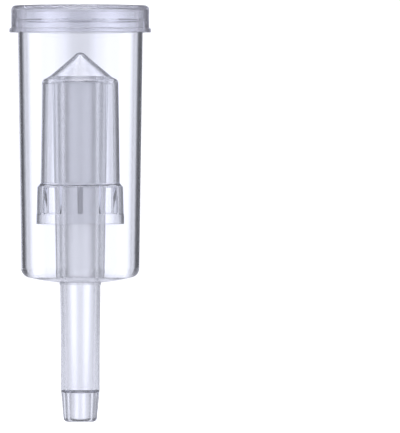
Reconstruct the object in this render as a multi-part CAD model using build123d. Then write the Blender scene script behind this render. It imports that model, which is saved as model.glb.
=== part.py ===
"""A three-piece fermentation airlock: chamber body, floating bell and snap-fit lid.

Millimetres, +Z up. The origin is the centre of the stem's tip, and every piece is round about
the Z axis. Each outline is drawn as (radius, height) and spun, so an outline reads as a section.
"""
from build123d import *
from math import atan, cos, sin, tan
import os

# Chamber body: heights
STEM_LAND_BOTTOM = 9.4  # the lead taper ends here
STEM_LAND_TOP = 22.0  # the cylinder that a bung grips ends here
COLLAR_Z = 39.3
FLOOR_CENTRE = 39.7  # where the domed floor's lowest point would be, inside the stem
RISER_TOP = 98.95
RIM_TOP = 118.5

# Chamber body: radii and walls
TIP_R = 4.75
STEM_LAND_R = 5.58
STEM_TOP_R = 5.82
COLLAR_R = 6.0
CUP_BOTTOM_R = 17.0  # where the wall would meet the floor, before rounding
CUP_TOP_R = 18.12
CUP_WALL = 1.3
FLOOR_THICKNESS = 0.7
FLOOR_DOME_R = 65.0
RISER_BASE_R = 6.95
RISER_TOP_R = 8.05

# The gas passage through the stem and riser, from the tip up: (radius, height)
PASSAGE = [(3.1, 0.0), (3.3, 8.4), (4.0, 9.2), (4.5, COLLAR_Z), (4.75, RISER_TOP)]

# Snap bead round the rim
BEAD_R = 18.6
BEAD_BOTTOM = 114.8
BEAD_TOP = 115.7
BEAD_SLOPE = 0.3

# Bell
SEAT_GAP = 0.03  # between the riser's rim and the cone that rests on it, measured upright
APEX_Z = 106.76  # where the cone's sides would meet, before the point is rounded
APEX_ROUND = 2.0
CONE_BASE = (9.05, 99.22)
SHOULDER = (10.96, 98.2)
TUBE_FOOT = (11.38, 68.6)
SKIRT_TOP = (12.36, 67.5)
SKIRT_FOOT = (12.53, 59.75)
BAND_TOP = (12.62, 59.6)
BELL_FOOT = (12.65, 56.8)
BELL_WALL = 1.15
SKIRT_WALL = 0.95
SKIRT_STEP = 0.2  # the ribbed part of the skirt is this much thicker than its plain band
CORE_ROUND = 1.2  # of the point inside the cone
LEDGE_Z = 67.5  # the flat ledge inside, where the tube meets the wider skirt
RIB_COUNT = 12
RIB_WALL_R = 11.4
RIB_WIDTH = 1.6  # where it meets the skirt's inner wall; each rib narrows to an edge
RIB_DEPTH = 0.3
RIB_BURIED = 0.25  # how far a rib's top runs into the ledge, so that they are one solid

# Lid
LID_TOP = 120.0
LID_CROWN = 0.3  # the top is this much lower at its edge
LID_R = 19.92
LID_CEILING = 118.55
LID_GRIP_R = 18.2  # holds the rim above the bead
LID_STEP = 115.8
LID_BORE_R = 18.65  # clears the bead
FLANGE_R = 20.45
FLANGE_TOP = 113.15
FLANGE_BOTTOM = 111.9
VENT_COUNT = 6
VENT_R = 0.75
VENT_CIRCLE_R = 10.0


def spin(lines, roundings):
    """Spin a closed (radius, height) outline, after rounding the corners nearest to given points."""
    outline = make_face(lines)
    for radius, corners in roundings:
        for corner in corners:
            outline = fillet(nearest_corner(outline, corner), radius)
    return revolve(Plane.XZ * outline, Axis.Z)


def nearest_corner(outline, point):
    """The outline's corner that is nearest to a (radius, height) point."""
    place = Vector(*point)
    return min(outline.vertices(), key=lambda corner: (Vector(corner) - place).length)


def floor_z(radius, raised=0.0):
    """Height of the domed floor at a radius: its outside, or its inside when raised."""
    return FLOOR_CENTRE + raised + FLOOR_DOME_R - (FLOOR_DOME_R**2 - radius**2) ** 0.5


def floor_arc(start_r, end_r, raised=0.0):
    """The floor's curve between two radii."""
    radii = (start_r, (start_r + end_r) / 2, end_r)
    return ThreePointArc(*[(r, floor_z(r, raised)) for r in radii])


def cup_r(z):
    """Outer radius of the cup's wall, which widens evenly up to the rim."""
    bottom = floor_z(CUP_BOTTOM_R)
    return CUP_BOTTOM_R + (CUP_TOP_R - CUP_BOTTOM_R) * (z - bottom) / (RIM_TOP - bottom)


def make_chamber_body():
    """Cup, riser and stem, one moulding."""
    tip = (TIP_R, 0)
    cup_foot = (CUP_BOTTOM_R, floor_z(CUP_BOTTOM_R))
    rim_outside = (CUP_TOP_R, RIM_TOP)
    rim_inside = (CUP_TOP_R - CUP_WALL, RIM_TOP)
    inner_foot_r = CUP_BOTTOM_R - CUP_WALL
    inner_foot = (inner_foot_r, floor_z(inner_foot_r, FLOOR_THICKNESS))
    riser_foot = (RISER_BASE_R, floor_z(RISER_BASE_R, FLOOR_THICKNESS))
    riser_rim = (RISER_TOP_R, RISER_TOP)
    passage_top = PASSAGE[-1]

    stem = Polyline(
        PASSAGE[0],
        tip,
        (STEM_LAND_R, STEM_LAND_BOTTOM),
        (STEM_LAND_R, STEM_LAND_TOP),
        (STEM_TOP_R, COLLAR_Z),
        (COLLAR_R, COLLAR_Z),
        (COLLAR_R, floor_z(COLLAR_R)),
    )
    wall = Polyline(
        cup_foot,
        (cup_r(BEAD_BOTTOM), BEAD_BOTTOM),
        (BEAD_R, BEAD_BOTTOM + BEAD_SLOPE),
        (BEAD_R, BEAD_TOP - BEAD_SLOPE),
        (cup_r(BEAD_TOP), BEAD_TOP),
        rim_outside,
        rim_inside,
        inner_foot,
    )
    riser = Polyline(riser_foot, riser_rim, *reversed(PASSAGE))
    outside_floor = floor_arc(COLLAR_R, CUP_BOTTOM_R)
    inside_floor = floor_arc(inner_foot_r, RISER_BASE_R, FLOOR_THICKNESS)
    roundings = [
        (1.2, [tip]),
        (2.8, [cup_foot]),
        (1.9, [inner_foot]),
        (0.8, [riser_foot]),
        (0.5, [rim_outside, rim_inside]),
        (0.05, [riser_rim]),
        (0.3, [passage_top]),
    ]
    return spin([stem, outside_floor, wall, inside_floor, riser], roundings)


def rounded_point(apex_z, slope, radius):
    """Where a cone's rounded point begins on the axis and where it joins the cone."""
    join_r = radius * sin(slope)
    join_z = apex_z - join_r * tan(slope)
    return (0, join_z + radius * (1 - cos(slope))), (join_r, join_z)


def make_bell():
    """An inverted cup with a conical point and a wider skirt, ribbed inside."""
    slope = atan((APEX_Z - CONE_BASE[1]) / CONE_BASE[0])
    point, point_join = rounded_point(APEX_Z, slope, APEX_ROUND)
    core_apex_z = RISER_TOP + SEAT_GAP + RISER_TOP_R * tan(slope)  # the cone inside meets the rim
    core_point, core_join = rounded_point(core_apex_z, slope, CORE_ROUND)
    roof_corner_r = SHOULDER[0] - BELL_WALL
    roof_corner = (roof_corner_r, core_apex_z - roof_corner_r * tan(slope))
    ledge_inside = (TUBE_FOOT[0] - BELL_WALL, LEDGE_Z)
    ledge_outside = (SKIRT_TOP[0] - SKIRT_WALL, LEDGE_Z)

    outside = Polyline(
        point_join, CONE_BASE, SHOULDER, TUBE_FOOT, SKIRT_TOP, SKIRT_FOOT, BAND_TOP, BELL_FOOT
    )
    inside = Polyline(
        BELL_FOOT,
        (BELL_FOOT[0] - SKIRT_WALL, BELL_FOOT[1]),
        (BAND_TOP[0] - SKIRT_WALL, BAND_TOP[1]),
        (SKIRT_FOOT[0] - SKIRT_WALL - SKIRT_STEP, SKIRT_FOOT[1]),
        ledge_outside,
        ledge_inside,
        roof_corner,
        core_join,
    )
    core_tip = TangentArc(core_point, core_join, tangent=(1, 0))
    axis_line = Line(core_point, point)
    tip = TangentArc(point, point_join, tangent=(1, 0))
    roundings = [
        (1.3, [SHOULDER]),
        (0.9, [roof_corner]),
        (0.35, [TUBE_FOOT, SKIRT_TOP]),
        (0.3, [CONE_BASE]),
        (0.15, [BELL_FOOT]),
        (0.2, [ledge_inside, ledge_outside]),
    ]
    shell = spin([outside, inside, core_tip, axis_line, tip], roundings)
    return shell + make_skirt_ribs()


def make_skirt_ribs():
    """Upright V-shaped ridges inside the skirt, from its plain band up into the ledge."""
    half = RIB_WIDTH / 2
    root_r = SKIRT_FOOT[0] - SKIRT_WALL / 2  # halfway into the skirt's wall
    outline = Polyline(
        (RIB_WALL_R - RIB_DEPTH, 0),
        (RIB_WALL_R, -half),
        (root_r, -half),
        (root_r, half),
        (RIB_WALL_R, half),
        close=True,
    )
    height = LEDGE_Z + RIB_BURIED - SKIRT_FOOT[1]
    rib = Pos(0, 0, SKIRT_FOOT[1]) * extrude(make_face(outline), height)
    return [Rot(0, 0, 360 * i / RIB_COUNT) * rib for i in range(RIB_COUNT)]


def make_lid():
    """Cap with a finger flange, a bore that passes the snap bead and a ring of vents."""
    edge_z = LID_TOP - LID_CROWN
    top_edge = (LID_R, edge_z)
    flange_root = (LID_R, FLANGE_TOP)
    flange_over = (FLANGE_R, FLANGE_TOP)
    flange_under = (FLANGE_R, FLANGE_BOTTOM)
    mouth = (LID_BORE_R, FLANGE_BOTTOM)
    ceiling_corner = (LID_GRIP_R, LID_CEILING)
    crown = TangentArc((0, LID_TOP), top_edge, tangent=(1, 0))
    section = Polyline(
        top_edge,
        flange_root,
        flange_over,
        flange_under,
        mouth,
        (LID_BORE_R, LID_STEP),
        (LID_GRIP_R, LID_STEP),
        ceiling_corner,
        (0, LID_CEILING),
        (0, LID_TOP),
    )
    roundings = [
        (1.3, [top_edge]),
        (0.2, [flange_over, flange_under, mouth]),
        (0.1, [flange_root]),
        (0.2, [ceiling_corner]),
    ]
    lid = spin([crown, section], roundings)
    vent = Cylinder(VENT_R, 2 * (LID_TOP - LID_CEILING))
    middle_z = (LID_TOP + LID_CEILING) / 2
    vents = [Pos(0, 0, middle_z) * place * vent for place in PolarLocations(VENT_CIRCLE_R, VENT_COUNT)]
    return lid - vents


def main():
    os.makedirs("parts", exist_ok=True)
    export_step(make_chamber_body(), "parts/chamber_body.step")
    export_step(make_bell(), "parts/bell.step")
    export_step(make_lid(), "parts/lid.step")


main()
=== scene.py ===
"""Looks for a clear three-piece fermentation airlock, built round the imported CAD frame."""
import math

import bpy
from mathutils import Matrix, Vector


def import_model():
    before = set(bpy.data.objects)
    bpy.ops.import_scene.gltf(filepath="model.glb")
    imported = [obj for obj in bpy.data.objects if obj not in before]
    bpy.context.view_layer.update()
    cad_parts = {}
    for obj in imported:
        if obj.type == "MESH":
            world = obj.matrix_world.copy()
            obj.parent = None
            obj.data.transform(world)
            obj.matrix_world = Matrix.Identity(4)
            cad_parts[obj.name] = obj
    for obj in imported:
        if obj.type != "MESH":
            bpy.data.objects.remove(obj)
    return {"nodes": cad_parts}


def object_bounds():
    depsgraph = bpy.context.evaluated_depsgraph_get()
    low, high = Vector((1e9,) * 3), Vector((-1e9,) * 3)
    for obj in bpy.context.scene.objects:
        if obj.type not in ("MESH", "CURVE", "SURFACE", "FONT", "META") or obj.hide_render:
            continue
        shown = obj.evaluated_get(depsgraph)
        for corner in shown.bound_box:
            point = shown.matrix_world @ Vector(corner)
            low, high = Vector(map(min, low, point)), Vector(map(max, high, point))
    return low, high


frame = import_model()
cad_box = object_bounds()

IOR_POLYSTYRENE = 1.59
IOR_SOFT_LID = 1.51
BORE_TOP_OF_TIP = 0.0088  # metres up the stem, where its bore widens
BORE_R_IN_TIP = 0.0036  # a surface nearer to the axis than this is the bore's
BORE_R_ABOVE_TIP = 0.005
RISER_FOOT = 0.0393  # the stem ends and the riser begins
STEM_MATT_SHARE = 0.6  # how matt the bore is in the stem, where it is 1 in the riser
WAVE_DEPTH = 0.0000015  # metres, of the gentle waves in a moulded skin

scene = bpy.context.scene
nodes = frame["nodes"]


# ---------------------------------------------------------------- node helpers
def new_material(name):
    """An empty node material with its output node."""
    material = bpy.data.materials.new(name)
    material.use_nodes = True
    material.node_tree.nodes.clear()
    output = material.node_tree.nodes.new("ShaderNodeOutputMaterial")
    return material, material.node_tree, output


def add(tree, kind, inputs=None, **settings):
    """A new shader node with its settings and unlinked inputs set."""
    node = tree.nodes.new(kind)
    for key, value in settings.items():
        setattr(node, key, value)
    for key, value in (inputs or {}).items():
        node.inputs[key].default_value = value
    return node


def math_node(tree, operation, a, b=None):
    """A Math node; a and b are numbers or output sockets."""
    node = add(tree, "ShaderNodeMath", operation=operation)
    for index, value in enumerate((a, b)):
        if value is None:
            continue
        if isinstance(value, (int, float)):
            node.inputs[index].default_value = value
        else:
            tree.links.new(value, node.inputs[index])
    return node.outputs[0]


# ---------------------------------------------------------------- materials
def own_place(tree):
    """The shaded point in the airlock's own frame, in metres."""
    return add(tree, "ShaderNodeTexCoord").outputs["Object"]


def radius_and_height(tree):
    """Distance of the shaded point from the airlock's axis and its height, in metres."""
    split = add(tree, "ShaderNodeSeparateXYZ")
    tree.links.new(own_place(tree), split.inputs[0])
    x, y = split.outputs["X"], split.outputs["Y"]
    x_squared = math_node(tree, "MULTIPLY", x, x)
    y_squared = math_node(tree, "MULTIPLY", y, y)
    radius = math_node(tree, "SQRT", math_node(tree, "ADD", x_squared, y_squared))
    return radius, split.outputs["Z"]


def spread_noise(tree, texture, low, high):
    """A noise texture's middle values, spread out between low and high."""
    limits = {"From Min": 0.35, "From Max": 0.65, "To Min": low, "To Max": high}
    spread = add(tree, "ShaderNodeMapRange", limits)
    tree.links.new(texture.outputs["Fac"], spread.inputs["Value"])
    return spread.outputs[0]


def noise(tree, size, detail=2.0, low=0.0, high=1.0):
    """Smooth noise between low and high with features about size metres across."""
    texture = add(tree, "ShaderNodeTexNoise", {"Scale": 1.0 / size, "Detail": detail})
    tree.links.new(own_place(tree), texture.inputs["Vector"])
    return spread_noise(tree, texture, low, high)


def level_bands(tree, size, low, high):
    """Noise that changes with height only, in bands about size metres apart."""
    split = add(tree, "ShaderNodeSeparateXYZ")
    tree.links.new(own_place(tree), split.inputs[0])
    place = add(tree, "ShaderNodeCombineXYZ")
    tree.links.new(split.outputs["Z"], place.inputs["Z"])
    texture = add(tree, "ShaderNodeTexNoise", {"Scale": 1.0 / size, "Detail": 3.0})
    tree.links.new(place.outputs[0], texture.inputs["Vector"])
    return spread_noise(tree, texture, low, high)


def waves(tree, size):
    """A bump of gentle waves about size metres across, as a moulding's skin has."""
    bump = add(tree, "ShaderNodeBump", {"Strength": 1.0, "Distance": WAVE_DEPTH})
    tree.links.new(noise(tree, size, detail=1.0), bump.inputs["Height"])
    return bump.outputs[0]


def clear_plastic(name, matt_bore=None, density=45.0):
    """Clear polystyrene: glossy, and faintly lavender through its thickness.

    With a matt_bore, that roughness is added on the gas passage through the stem and riser.
    """
    material, tree, output = new_material(name)
    shader = add(
        tree,
        "ShaderNodeBsdfPrincipled",
        {"Base Color": (1, 1, 1, 1), "Transmission Weight": 1.0, "IOR": IOR_POLYSTYRENE},
    )
    tree.links.new(shader.outputs[0], output.inputs["Surface"])
    lavender = {"Color": (0.82, 0.83, 0.88, 1), "Density": density}
    depth = add(tree, "ShaderNodeVolumeAbsorption", lavender)
    tree.links.new(depth.outputs[0], output.inputs["Volume"])
    tree.links.new(waves(tree, 0.008), shader.inputs["Normal"])
    roughness = noise(tree, 0.003, low=0.0, high=0.012)
    if matt_bore:
        radius, height = radius_and_height(tree)
        above_tip = math_node(tree, "GREATER_THAN", height, BORE_TOP_OF_TIP)
        wider = math_node(tree, "MULTIPLY", above_tip, BORE_R_ABOVE_TIP - BORE_R_IN_TIP)
        bore_r = math_node(tree, "ADD", wider, BORE_R_IN_TIP)
        inside = math_node(tree, "LESS_THAN", radius, bore_r)
        in_riser = math_node(tree, "GREATER_THAN", height, RISER_FOOT)
        extra = math_node(tree, "MULTIPLY", in_riser, 1 - STEM_MATT_SHARE)
        share = math_node(tree, "ADD", extra, STEM_MATT_SHARE)
        matt = math_node(tree, "MULTIPLY", math_node(tree, "MULTIPLY", inside, share), matt_bore)
        roughness = math_node(tree, "ADD", roughness, matt)
    tree.links.new(roughness, shader.inputs["Roughness"])
    return material


def milky_plastic():
    """The lid's soft plastic: part clear, part milky, satin, cloudy in faint level bands."""
    material, tree, output = new_material("milky_plastic")
    clear = add(
        tree,
        "ShaderNodeBsdfPrincipled",
        {"Base Color": (0.97, 0.97, 1.0, 1), "Transmission Weight": 1.0, "IOR": IOR_SOFT_LID},
    )
    tree.links.new(noise(tree, 0.003, low=0.025, high=0.04), clear.inputs["Roughness"])
    tree.links.new(waves(tree, 0.01), clear.inputs["Normal"])
    milk = add(tree, "ShaderNodeBsdfTranslucent", {"Color": (0.93, 0.93, 0.99, 1)})
    skin = add(tree, "ShaderNodeBsdfDiffuse", {"Color": (0.93, 0.93, 0.99, 1)})
    cloud = add(tree, "ShaderNodeMixShader", {"Fac": 0.4})
    tree.links.new(milk.outputs[0], cloud.inputs[1])
    tree.links.new(skin.outputs[0], cloud.inputs[2])
    both = add(tree, "ShaderNodeMixShader")
    tree.links.new(level_bands(tree, 0.0012, low=0.08, high=0.14), both.inputs["Fac"])
    tree.links.new(clear.outputs[0], both.inputs[1])
    tree.links.new(cloud.outputs[0], both.inputs[2])
    tree.links.new(both.outputs[0], output.inputs["Surface"])
    return material


def assign(node, material):
    """Gives a CAD node one material in every slot."""
    mesh = nodes[node].data
    mesh.materials.clear()
    mesh.materials.append(material)


assign("chamber_body", clear_plastic("clear_body", matt_bore=0.3))
assign("bell", clear_plastic("clear_bell", density=200.0))
assign("lid", milky_plastic())


# ---------------------------------------------------------------- studio
LIGHT_TINT = (0.86, 0.88, 1.0)  # a little cool, which only the studio's dimmer parts show
SEEN_WHITE = (1.2, 1.2, 1.2, 1.0)  # the plain white that the camera sees round the airlock

# How bright the studio is at each angle to either side of the backdrop's middle, in degrees.
ROUND_THE_SIDES = [
    (0, 0.9),  # backdrop, a little dimmer in its middle
    (0.8, 0.96),
    (1.6, 1.06),
    (3, 1.2),
    (5, 1.4),
    (8, 1.2),
    (11, 0.8),
    (18, 0.85),
    (22, 0.8),
    (30, 0.75),
    (35, 0.6),
    (50, 0.65),
    (60, 0.95),
    (66, 1.6),  # softboxes at the sides
    (78, 1.0),
    (102, 0.85),
    (125, 1.5),
    (150, 1.2),
    (165, 0.4),  # the camera's side
    (180, 0.35),
]
# How bright it is further up or down, at each angle away from the backdrop's middle.
ABOVE_AND_BELOW = [
    (0, 1.0),
    (14, 0.9),
    (19, 0.12),
    (45, 0.1),
    (52, 0.9),
    (60, 1.0),
    (130, 0.9),
    (155, 0.8),
    (180, 0.5),
]
# The flags: dim strips beside the backdrop, about as high as the cup. They draw its edges.
FLAGS = [(20, 0.8), (22, 0.07), (30, 0.06), (33, 0.1), (40, 0.2), (44, 0.4), (50, 0.45), (54, 0.9)]
FLAG_DISTANCE = 0.4
FLAG_HEIGHTS = (0.038, 0.13)
FLAG_STEPS = 12  # flat pieces that make up a flag's curve
LEVEL_BAND = (6, 10)  # degrees up or down: the panels fade out between these
TABLE_GLOW = 0.8  # added to the table top where the camera sees it


def level_ramp(tree, angle, stops, low, high):
    """Radiance along an angle in degrees, from (angle, level) stops, in the studio's tint."""
    share = math_node(tree, "DIVIDE", math_node(tree, "SUBTRACT", angle, low), high - low)
    ramp = add(tree, "ShaderNodeValToRGB")
    tree.links.new(share, ramp.inputs[0])
    elements = ramp.color_ramp.elements
    while len(elements) < len(stops):
        elements.new(0.5)
    for element, (place, level) in zip(elements, stops):
        element.position = (place - low) / (high - low)
        element.color = (*(tint * level for tint in LIGHT_TINT), 1)
    return ramp.outputs[0]


def mix_colors(tree, factor, a, b):
    """A colour Mix node; each of the three is a value or an output socket."""
    node = add(tree, "ShaderNodeMix", data_type="RGBA")
    for name, value in (("Factor", factor), ("A", a), ("B", b)):
        if isinstance(value, (float, tuple)):
            node.inputs[name].default_value = value
        else:
            tree.links.new(value, node.inputs[name])
    return node.outputs["Result"]


def world():
    """A white studio: camera rays see plain white, the plastic sees the panels round it."""
    made = bpy.data.worlds.new("studio")
    made.use_nodes = True
    tree = made.node_tree
    tree.nodes.clear()
    output = add(tree, "ShaderNodeOutputWorld")
    background = add(tree, "ShaderNodeBackground", {"Strength": 1.0})
    tree.links.new(background.outputs[0], output.inputs[0])
    direction = add(tree, "ShaderNodeTexCoord").outputs["Generated"]
    split = add(tree, "ShaderNodeSeparateXYZ")
    tree.links.new(direction, split.inputs[0])
    turn = math_node(tree, "ARCTAN2", split.outputs["X"], split.outputs["Y"])
    aside = math_node(tree, "ABSOLUTE", math_node(tree, "DEGREES", turn))
    rise = math_node(tree, "DEGREES", math_node(tree, "ARCSINE", split.outputs["Z"]))
    panels = level_ramp(tree, aside, ROUND_THE_SIDES, 0, 180)
    away = math_node(tree, "DEGREES", math_node(tree, "ARCCOSINE", split.outputs["Y"]))
    beyond = level_ramp(tree, away, ABOVE_AND_BELOW, 0, 180)
    over = math_node(tree, "SUBTRACT", math_node(tree, "ABSOLUTE", rise), LEVEL_BAND[0])
    fade = math_node(tree, "DIVIDE", over, LEVEL_BAND[1] - LEVEL_BAND[0])
    clamp = add(tree, "ShaderNodeClamp")
    tree.links.new(fade, clamp.inputs["Value"])
    seen = mix_colors(tree, clamp.outputs[0], panels, beyond)
    rays = add(tree, "ShaderNodeLightPath")
    color = mix_colors(tree, rays.outputs["Is Camera Ray"], seen, SEEN_WHITE)
    tree.links.new(color, background.inputs["Color"])
    scene.world = made


def camera():
    """A long lens, level with the airlock's middle, with the airlock left of the picture's centre."""
    distance = 4.5  # further off, the views from other angles lose the airlock
    frame_height = 0.1245  # what the picture takes in at the airlock, in metres
    middle_z = cad_box[0].z + 0.059
    aside = 0.03443  # from the airlock to the middle of the picture
    data = bpy.data.cameras.new("camera")
    data.sensor_width = 36.0
    data.lens = data.sensor_width * distance / frame_height
    data.clip_start, data.clip_end = 0.1, 30.0
    made = bpy.data.objects.new("camera", data)
    scene.collection.objects.link(made)
    made.location = (0, -distance, middle_z)
    made.rotation_euler = (math.radians(90), 0, -math.atan2(aside, distance))
    scene.camera = made


def floor():
    """A round pale table top that the camera sees as plain white."""
    depth, gap = 0.01, 0.0002  # it stands just clear of the stem's tip
    middle = (0, 0, cad_box[0].z - gap - depth / 2)
    bpy.ops.mesh.primitive_cylinder_add(vertices=128, radius=0.3, depth=depth, location=middle)
    made = bpy.context.object
    made.name = "table_top"
    material, tree, output = new_material("table_white")
    white = add(tree, "ShaderNodeBsdfDiffuse", {"Color": (0.8, 0.8, 0.83, 1)})
    glow = add(tree, "ShaderNodeEmission", {"Color": (1, 1, 1, 1)})
    rays = add(tree, "ShaderNodeLightPath")
    strength = math_node(tree, "MULTIPLY", rays.outputs["Is Camera Ray"], TABLE_GLOW)
    tree.links.new(strength, glow.inputs["Strength"])
    both = add(tree, "ShaderNodeAddShader")
    tree.links.new(white.outputs[0], both.inputs[0])
    tree.links.new(glow.outputs[0], both.inputs[1])
    tree.links.new(both.outputs[0], output.inputs["Surface"])
    made.data.materials.append(material)


def flag(side):
    """A curved strip behind the airlock on one side; only the plastic sees it, not the camera."""
    start, end = FLAGS[0][0], FLAGS[-1][0]
    corners = []
    for step in range(FLAG_STEPS + 1):
        angle = math.radians(start + (end - start) * step / FLAG_STEPS)
        x, y = side * FLAG_DISTANCE * math.sin(angle), FLAG_DISTANCE * math.cos(angle)
        corners += [(x, y, height) for height in FLAG_HEIGHTS]
    faces = [(2 * i, 2 * i + 2, 2 * i + 3, 2 * i + 1) for i in range(FLAG_STEPS)]
    mesh = bpy.data.meshes.new("flag")
    mesh.from_pydata(corners, [], faces)
    made = bpy.data.objects.new("flag", mesh)
    scene.collection.objects.link(made)
    material, tree, output = new_material("flag_grey")
    split = add(tree, "ShaderNodeSeparateXYZ")
    tree.links.new(own_place(tree), split.inputs[0])
    turn = math_node(tree, "ARCTAN2", split.outputs["X"], split.outputs["Y"])
    aside = math_node(tree, "ABSOLUTE", math_node(tree, "DEGREES", turn))
    glow = add(tree, "ShaderNodeEmission", {"Strength": 1.0})
    tree.links.new(level_ramp(tree, aside, FLAGS, start, end), glow.inputs["Color"])
    tree.links.new(glow.outputs[0], output.inputs["Surface"])
    mesh.materials.append(material)
    made.visible_camera = False
    made.visible_shadow = False
    made.visible_diffuse = False


def overhead_softbox():
    """A soft light above the airlock."""
    data = bpy.data.lights.new("overhead_softbox", "AREA")
    data.shape = "DISK"
    data.size = 0.8
    data.energy = 3.0
    made = bpy.data.objects.new("overhead_softbox", data)
    scene.collection.objects.link(made)
    made.location = (0, 0, 1.2)


world()
floor()
flag(-1)
flag(1)
overhead_softbox()
camera()
scene.view_settings.view_transform = "Standard"
scene.cycles.max_bounces = 40
scene.cycles.transmission_bounces = 40
scene.cycles.glossy_bounces = 12
scene.cycles.caustics_reflective = True
scene.cycles.caustics_refractive = True
